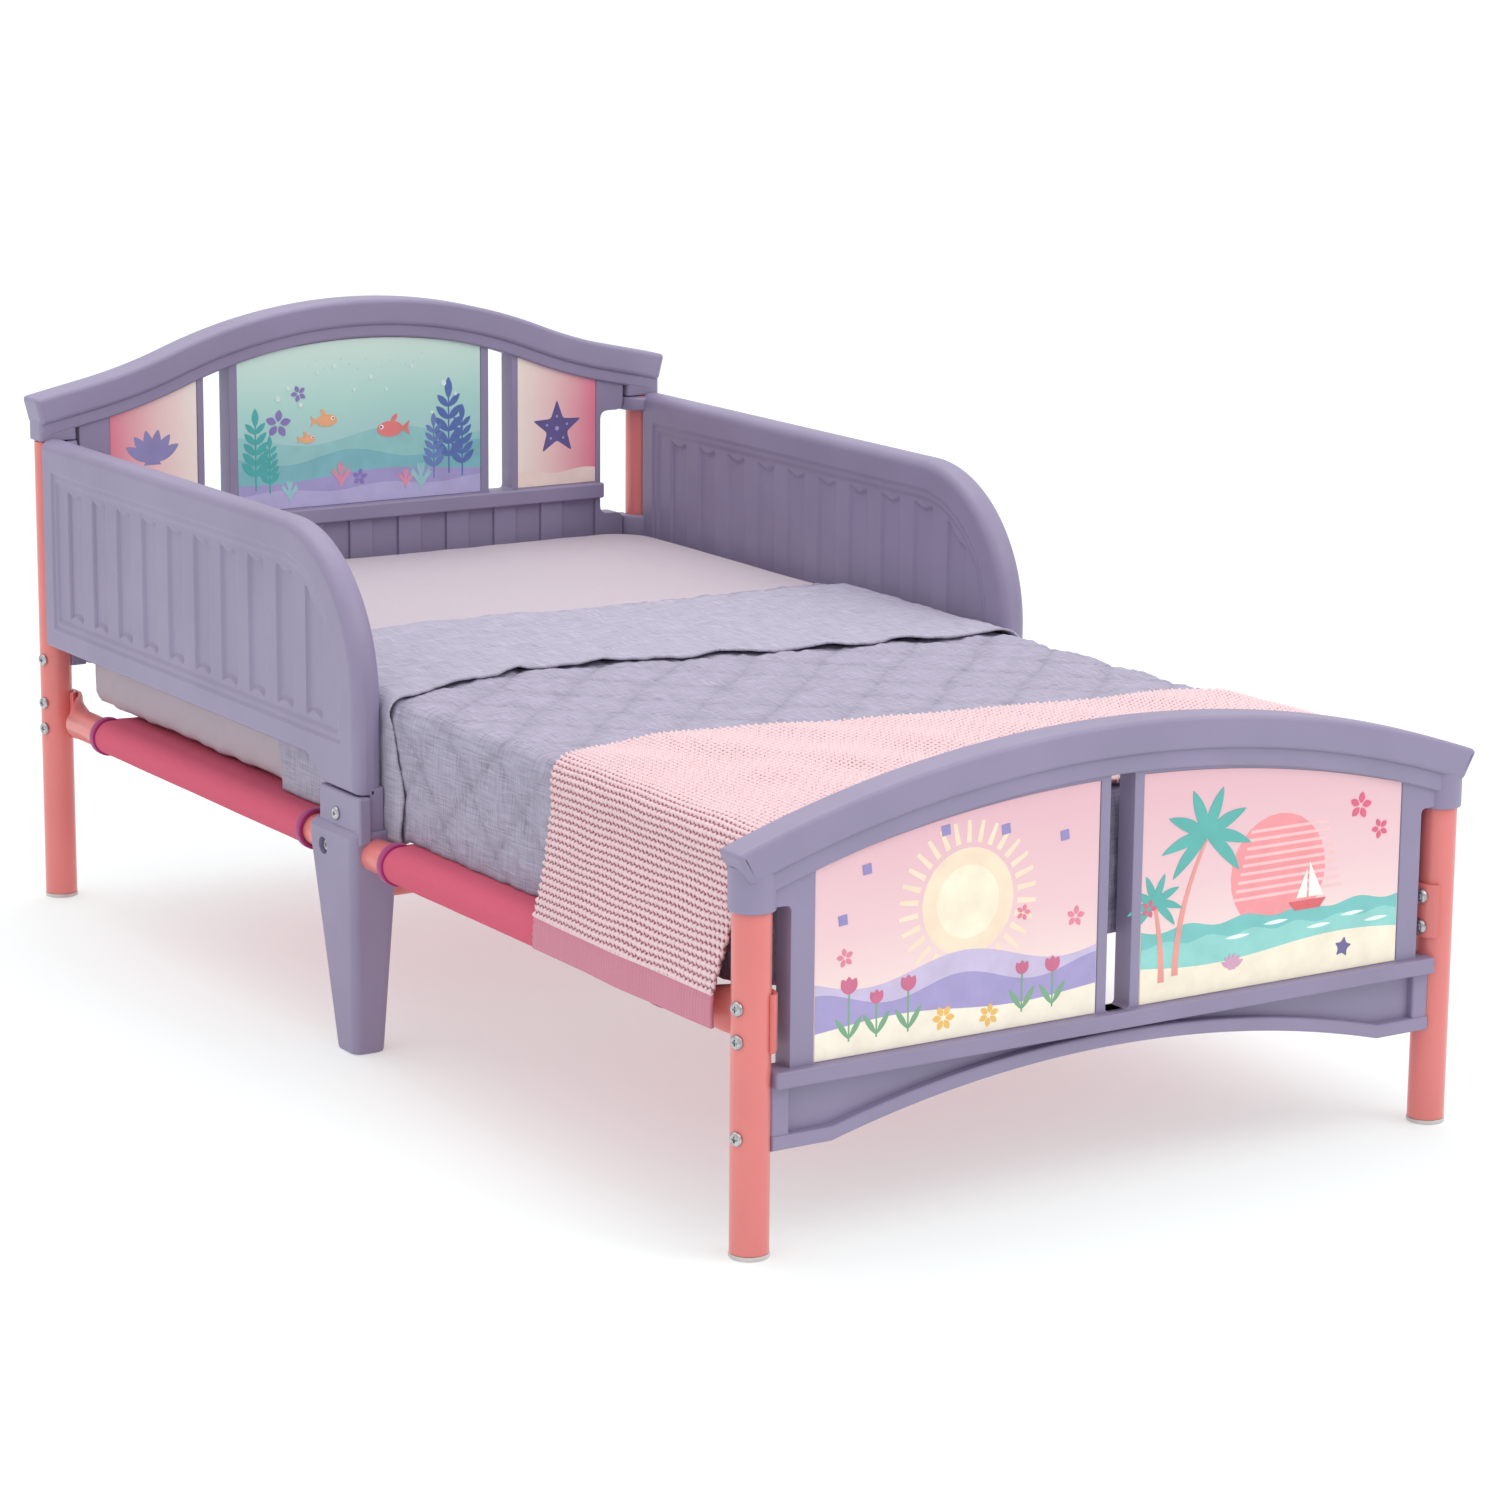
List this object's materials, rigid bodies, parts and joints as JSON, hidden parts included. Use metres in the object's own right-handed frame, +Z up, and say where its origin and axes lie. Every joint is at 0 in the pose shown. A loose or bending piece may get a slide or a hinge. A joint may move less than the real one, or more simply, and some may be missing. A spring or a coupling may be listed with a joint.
{
  "type": "toddler bed",
  "caption": "Low toddler bed with arched moulded headboard and footboard, two guardrails on centre legs, steel tube frame, fabric deck and made-up bedding.",
  "frame": {"origin": "on the floor, under the middle of the bed", "axes": "+X across the bed, to the right seen from the foot end, +Y towards the headboard, +Z up"},
  "size_m": [0.741, 1.353, 0.5945],
  "materials": {
    "lavender_plastic": "satin moulded plastic with a fine grain",
    "coral_paint": "satin powder coat on round steel tube",
    "foot_cap_plastic": "translucent white moulded plastic",
    "zinc_hardware": "bright zinc plate",
    "sea_print": "printed plastic sheet under a clear film",
    "pink_print": "printed plastic sheet under a clear film",
    "deck_fabric": "woven polyester with a magenta binding",
    "mattress_cover": "quilt-smooth vinyl-backed cover",
    "sheet_cotton": "plain woven cotton",
    "quilt_linen": "washed linen, stitched in diamonds",
    "throw_knit": "chunky garter knit"
  },
  "bodies": {
    "bed_frame": {"centre_leg_left": "lavender_plastic", "centre_leg_right": "lavender_plastic", "cross_bar": "coral_paint", "deck_foot": "deck_fabric", "deck_head": "deck_fabric", "foot_cap_foot_left": "foot_cap_plastic", "foot_cap_foot_right": "foot_cap_plastic", "foot_cap_head_left": "foot_cap_plastic", "foot_cap_head_right": "foot_cap_plastic", "footboard_art_left": "pink_print", "footboard_art_right": "pink_print", "footboard_screw_left": "zinc_hardware", "footboard_screw_right": "zinc_hardware", "footboard_shell": "lavender_plastic", "guardrail_left": "lavender_plastic", "guardrail_right": "lavender_plastic", "guardrail_screw_left": "zinc_hardware", "guardrail_screw_right": "zinc_hardware", "headboard_art_centre": "sea_print", "headboard_art_left": "pink_print", "headboard_art_right": "pink_print", "headboard_screw_left": "zinc_hardware", "headboard_screw_right": "zinc_hardware", "headboard_shell": "lavender_plastic", "leg_bolt_left": "zinc_hardware", "leg_bolt_right": "zinc_hardware", "post_foot_left": "coral_paint", "post_foot_right": "coral_paint", "post_head_left": "coral_paint", "post_head_right": "coral_paint", "rail_bolt_foot_left_lower": "zinc_hardware", "rail_bolt_foot_left_upper": "zinc_hardware", "rail_bolt_foot_right_lower": "zinc_hardware", "rail_bolt_foot_right_upper": "zinc_hardware", "rail_bolt_head_left_lower": "zinc_hardware", "rail_bolt_head_left_upper": "zinc_hardware", "rail_bolt_head_right_lower": "zinc_hardware", "rail_bolt_head_right_upper": "zinc_hardware", "rail_nut_foot_left_lower": "zinc_hardware", "rail_nut_foot_left_upper": "zinc_hardware", "rail_nut_foot_right_lower": "zinc_hardware", "rail_nut_foot_right_upper": "zinc_hardware", "rail_nut_head_left_lower": "zinc_hardware", "rail_nut_head_left_upper": "zinc_hardware", "rail_nut_head_right_lower": "zinc_hardware", "rail_nut_head_right_upper": "zinc_hardware", "side_rail_foot_left": "coral_paint", "side_rail_foot_right": "coral_paint", "side_rail_head_left": "coral_paint", "side_rail_head_right": "coral_paint"},
    "bedding": {"mattress": "mattress_cover", "fitted_sheet": "sheet_cotton", "quilt": "quilt_linen", "throw": "throw_knit"}
  },
  "joints": [
    {"name": "mattress_lift", "type": "slide", "parent": "bed_frame", "child": "bedding", "axis": [0, 0, 1], "range_m": [0, 0.4]}
  ]
}
